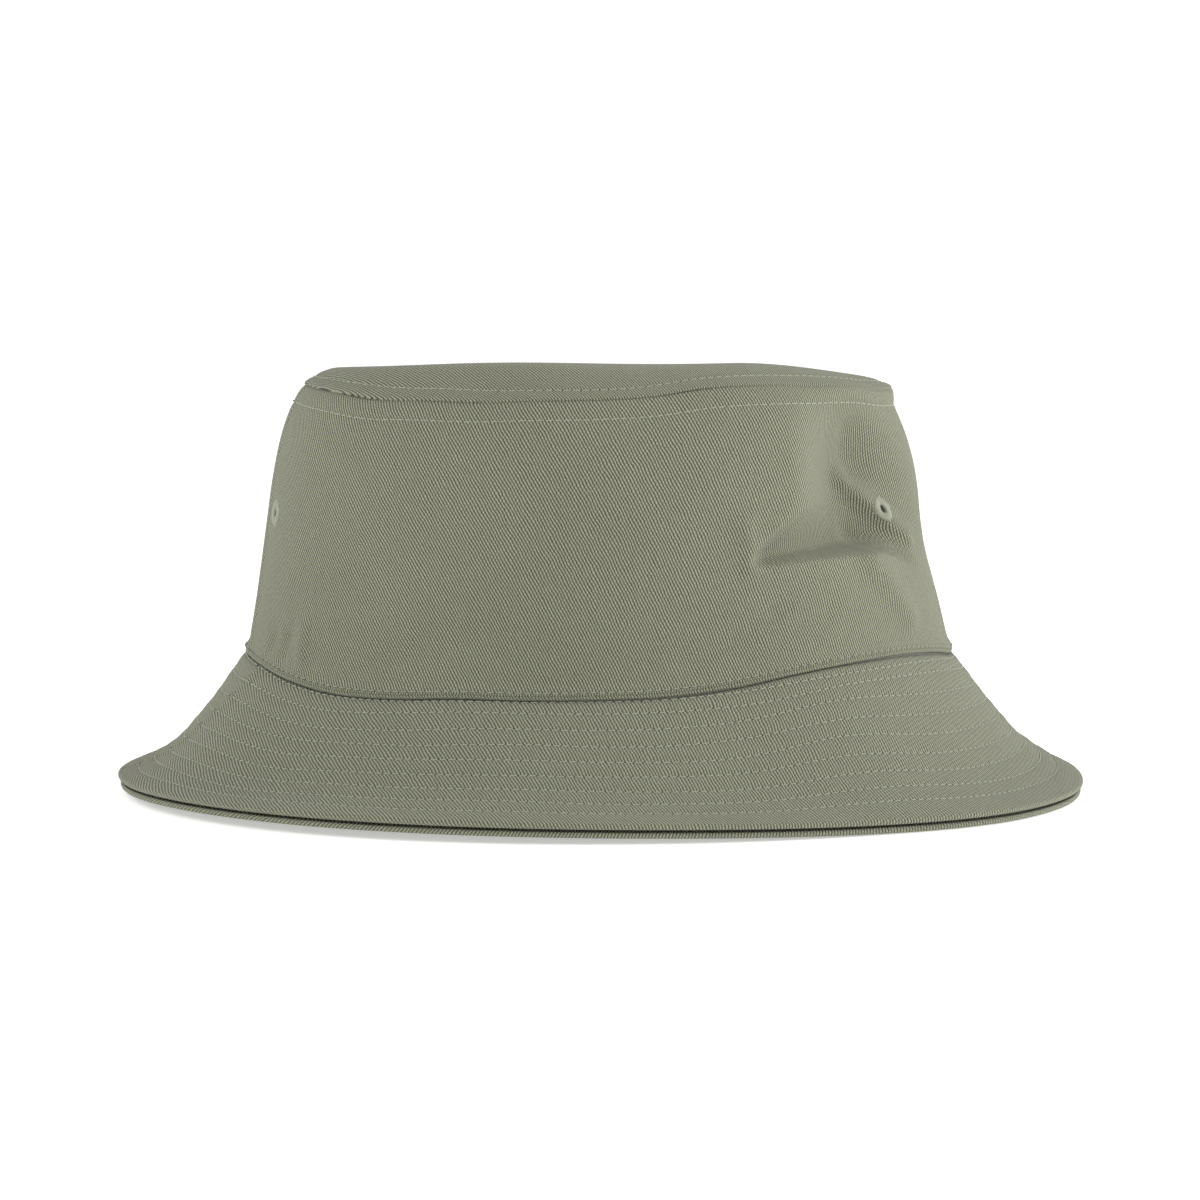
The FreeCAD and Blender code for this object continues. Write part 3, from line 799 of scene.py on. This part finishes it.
def bandAt(s, t):
    # the band follows the wall inside it; its end laps over its start at the back
    lap = smooth((s - (girth / 2 - lining["lapSlope"])) / lining["lapSlope"]) * lining["lapGap"]
    hem = lining["hemGap"] * smooth((t - lining["bandWidth"] + lining["hem"]) / lining["hemStitch"])
    slack = lining["slack"] * (1 + drift(s, 61, 6, 4)) * smooth(t / lining["bandWidth"])
    gap = lining["gap"] + lap + hem + slack - groove(t - hemRow, *lining["hemGroove"])
    return inside(crownAt, s, t, gap[..., None])


def bandFace(s, t):
    return bandAt(s, t) - normalsOf(crownAt, s, t) * cloth["crown"]


def tipTapeAt(s, t):
    # from the wall, across the seam, onto the tip
    wallOut = normalsOf(crownAt, s, wall["height"] - 4 * mm)
    tipOut = normalsOf(tipAt, s, 3 * mm)
    wallPart = crownAt(s, wall["height"] + np.minimum(t, 0)) - wallOut * lining["tapeGap"]
    tipPart = tipAt(s, np.maximum(t, 0)) - tipOut * lining["tapeGap"]
    return blend(wallPart, tipPart, smooth(t / lining["tapeBlend"] + 0.5)[..., None])


def labelAt(t, h):
    bulge = lining["labelBulge"] * np.cos(t / lining["labelWidth"] * math.pi)
    out = normalsOf(crownAt, girth / 2 + t, h)
    return bandAt(t - girth / 2, h) - out * (lining["labelGap"] + bulge)[..., None]


def straight(s, t):
    return np.stack([s, t], -1)


bandSpan = (-girth / 2, girth / 2 + lining["bandLap"])
band = gridCloth("sweatband", bandSpan, (-lining["bandLow"], lining["bandWidth"]), (2 * mm, 0.75 * mm), bandAt,
                 straight, flip=True)
band = finishPiece(band, "sweatband_cloth", bandTwill, "sweatband", cloth["crown"])
tapeSpan = (-lining["tapeWidth"] / 2, lining["tapeWidth"] / 2)
tape = gridCloth("tipTape", (-girth / 2, girth / 2), tapeSpan, (2.5 * mm, 1 * mm), tipTapeAt, straight,
                 flip=True)
tape = finishPiece(tape, "tip_tape", seamTape, "tip_seam_tape", cloth["tape"])
for side, place in (("left", girth / 4), ("right", -girth / 4)):
    high = wall["height"] - 7 * mm
    tape = gridCloth("sideTape", tapeSpan, (lining["tapeLow"], high), (1 * mm, 2 * mm),
                     lambda t, h: inside(crownAt, place + t, h, lining["tapeGap"]), straight, flip=True)
    tape = finishPiece(tape, f"side_tape_{side}", seamTape, f"side_seam_tape_{side}",
                       cloth["tape"])
labelSpan = (-lining["labelWidth"] / 2, lining["labelWidth"] / 2)
labelRise = (lining["labelRise"], lining["labelRise"] + lining["labelHeight"])
label = gridCloth("sizeLabel", labelSpan, labelRise, (1 * mm, 1 * mm), labelAt, straight, flip=True)
label = finishPiece(label, "size_label_blank", labelSatin, "size_label", cloth["label"])
print("linings laid")


def eyeletMesh(place):
    # a ring of thread wound through a hole: a flat oval section spun round, ribbed once for each wrap
    bm = bmesh.new()
    middle, half = (eyelets["outer"] + eyelets["hole"]) / 2, (eyelets["outer"] - eyelets["hole"]) / 2
    section = bmesh.ops.create_circle(bm, segments=14, radius=1)["verts"]
    for v in section:
        height = math.copysign(abs(v.co.y) ** 0.7, v.co.y) * eyelets["thick"]
        v.co = Vector((middle + half * v.co.x, 0, height - eyelets["sunk"]))
    bmesh.ops.spin(bm, geom=section + bm.edges[:], axis=(0, 0, 1), cent=(0, 0, 0), angle=2 * math.pi,
                   steps=eyelets["wraps"] * 4, use_merge=True)
    bmesh.ops.recalc_face_normals(bm, faces=bm.faces)
    mesh = meshFrom(bm, "eyelet")
    x, y, z = pointsOf(mesh).T
    turn, radius = np.arctan2(y, x), np.hypot(x, y)
    wrap = (turn / (2 * math.pi) * eyelets["wraps"]) % eyelets["wraps"]
    rib = abs(np.sin(wrap * math.pi))
    random = np.random.default_rng(7)
    uneven = random.uniform(-eyelets["uneven"], eyelets["uneven"], eyelets["wraps"])[wrap.astype(int)]
    radius = radius + (uneven - eyelets["wrapDip"] * (1 - rib)) * smooth((radius - middle) / half)
    lift = (z + eyelets["sunk"]) * blend(eyelets["wrapLow"], 1, rib) - eyelets["sunk"]
    s, h = place + radius * np.cos(turn), eyelets["rise"] + radius * np.sin(turn)
    return movePoints(mesh, inside(crownAt, s, h, -lift[:, None]))


for name, place in eyeletPlaces.items():
    finishPiece(eyeletMesh(place), f"{name}_thread", eyeletThread, name)
print("eyelets wound")

stitch = {
    "pitch": 2.65 * mm,
    "length": 2.15 * mm,
    "radius": 0.19 * mm,
    "dip": 0.12 * mm,  # how far its ends dip into the cloth
    "lift": 0.12 * mm,  # how far its middle line stands off the cloth
    "hole": 0.23 * mm,
    "holeSides": 7,
    "holeSunk": 0.06 * mm,
    "slant": (0.07, 0.035),  # mean and spread, of the turn from the row's own direction
    "stretch": (0.93, 1.06),
}


def stitchTemplate():
    # one stitch along X: a plump strand that dips at its ends, and past its end a near-black disc, painted
    # shade in the needle's hole
    bm = bmesh.new()
    alongX = Matrix.Rotation(math.pi / 2, 4, "Y")
    bmesh.ops.create_uvsphere(bm, u_segments=6, v_segments=6, radius=1, matrix=alongX)
    for v in bm.verts:
        x = max(-1, min(1, v.co.x))
        # fuller towards its ends than a ball
        full = math.sqrt(max(0, 1 - x ** 6)) / max(0.05, math.sqrt(1 - x * x)) if abs(x) < 0.999 else 1
        v.co = Vector((x * stitch["length"] / 2, v.co.y * full * stitch["radius"],
                       v.co.z * full * stitch["radius"] - stitch["dip"] * x * x))
    hole = bmesh.ops.create_circle(bm, cap_ends=True, segments=stitch["holeSides"], radius=stitch["hole"])
    bmesh.ops.translate(bm, verts=hole["verts"], vec=(stitch["pitch"] / 2, 0, -stitch["holeSunk"]))
    # the hole's disc gets the second material, painted shade in the needle's hole
    for face in bm.faces:
        if len(face.verts) == stitch["holeSides"]:
            face.material_index = 1
    return meshFrom(bm, "stitch")


template = stitchTemplate()
templatePoints = pointsOf(template)


def unit(vectors):
    return vectors / np.linalg.norm(vectors, axis=1, keepdims=True)


def rowPoints(surface, rowOf, side):
    # copies of the stitch along a row, whose t at each s comes from rowOf; side is 1 along the normals, or -1
    s = np.linspace(-girth / 2, girth / 2, 3000)
    length = lengthsAlong(surface(s, rowOf(s)))
    count = round(length[-1] / stitch["pitch"])
    random = np.random.default_rng(count)
    s = np.interp((np.arange(count) + 0.5) * length[-1] / count, length, s)
    normal = normalsOf(surface, s, rowOf(s)) * side
    step = 1.0 * mm
    direction = unit(surface(s + step, rowOf(s + step)) - surface(s - step, rowOf(s - step)))
    direction -= normal * np.sum(direction * normal, axis=1, keepdims=True)
    mean, spread = stitch["slant"]
    turned = unit(direction + np.cross(normal, direction) * (mean + random.normal(0, spread, count)[:, None]))
    stretched = turned * random.uniform(*stitch["stretch"], count)[:, None]
    middle = surface(s, rowOf(s)) + normal * stitch["lift"]
    points = middle[:, None, :]
    for axis, way in enumerate((stretched, np.cross(normal, turned), normal)):
        points = points + templatePoints[None, :, axis:axis + 1] * way[:, None, :]
    return points.reshape(-1, 3)


def sewRow(name, nodeName, *runs):
    points = np.concatenate([rowPoints(*run) for run in runs])
    bm = bmesh.new()
    for copy in range(len(points) // len(templatePoints)):
        bm.from_mesh(template)
    mesh = movePoints(meshFrom(bm, name), points)
    piece = finishPiece(mesh, name, threadStrand, nodeName)
    # the second material paints the shade in the needle holes
    piece.data.materials.append(needleHoleShade)


def fixed(value):
    return lambda s: np.full_like(s, value)


for row in range(brim["rows"]):
    rowOf = lambda s: rowAt(row, s)
    sewRow(f"brim_sewing_{row + 1}", f"brim_stitch_row_{row + 1}", (brimTopAt, rowOf, -1),
           (brimUnderAt, rowOf, 1))
edgeRow = fixed(wall["edgeStitch"])
sewRow("crown_edge_sewing", "crown_edge_topstitch", (crownAt, edgeRow, 1), (bandFace, edgeRow, -1))
sewRow("sweatband_hem_sewing", "sweatband_hem_stitch", (bandFace, fixed(hemRow), -1))
tipRow = fixed(wall["height"] - wall["tipStitch"])
sewRow("tip_seam_sewing_wall", "tip_topstitch_lower", (crownAt, tipRow, 1))
sewRow("tip_seam_sewing_tip", "tip_topstitch_upper", (tipAt, tip["topstitch"], 1))
print("stitching sewn")


def standAt(thing, at, aim):
    # stands a thing at a point, turned towards another
    bpy.context.scene.collection.objects.link(thing)
    thing.location = at
    thing.rotation_euler = (Vector(aim) - Vector(at)).to_track_quat("-Z", "Y").to_euler()


view = {"distance": 1.6, "turn": -6.0, "height": 0.225, "aim": 0.0555, "across": 0.356, "sensor": 36}
camera = bpy.data.objects.new("camera", bpy.data.cameras.new("camera"))
turn = math.radians(view["turn"])
standAt(camera, (view["distance"] * math.sin(turn), -view["distance"] * math.cos(turn), view["height"]),
        (0, 0, view["aim"]))
camera.data.sensor_width = view["sensor"]
camera.data.lens = view["sensor"] * view["distance"] / view["across"]
camera.data.clip_end = 50
bpy.context.scene.camera = camera

lights = {
    "left": {"at": (-1.2, -0.10, 0.95), "size": 1.1, "power": 8.2},
    "right": {"at": (1.3, -0.25, 0.60), "size": 1.1, "power": 15.2},
    "over": {"at": (0.0, 0.1, 1.7), "size": 1.4, "power": 1},
}
lightAim = (0, 0, 0.07)
for name, value in lights.items():
    data = bpy.data.lights.new(name, "AREA")
    data.size = value["size"]
    data.energy = value["power"]
    standAt(bpy.data.objects.new(name, data), value["at"], lightAim)

# an even white surround that dims overhead
surround = {"From Min": 0.12, "From Max": 0.75, "To Min": 1.03, "To Max": 0.54}
world = bpy.data.worlds.new("studio")
world.use_nodes = True
sky = world.node_tree
direction = node(sky, "ShaderNodeTexCoord").outputs["Generated"]
height = node(sky, "ShaderNodeSeparateXYZ", {0: direction}).outputs["Z"]
overhead = node(sky, "ShaderNodeMapRange", {"Value": height, **surround}).outputs[0]
fill(sky, sky.nodes["Background"], {"Strength": overhead, "Color": (1, 1, 1, 1)})
bpy.context.scene.world = world
bpy.context.scene.view_settings.view_transform = "Standard"

floorLook = {
    "Base Color": (0.93, 0.93, 0.93, 1),
    "Roughness": 1.0,
    "Emission Color": (1, 1, 1, 1),
    "Emission Strength": 0.42,
}
floorPaint = bpy.data.materials.new("floorPaint")
floorPaint.use_nodes = True
fill(floorPaint.node_tree, floorPaint.node_tree.nodes["Principled BSDF"], floorLook)
bm = bmesh.new()
bmesh.ops.create_grid(bm, x_segments=4, y_segments=4, size=12)
floor = bpy.data.objects.new("floor", meshFrom(bm, "floor"))
floor.data.materials.append(floorPaint)
bpy.context.scene.collection.objects.link(floor)
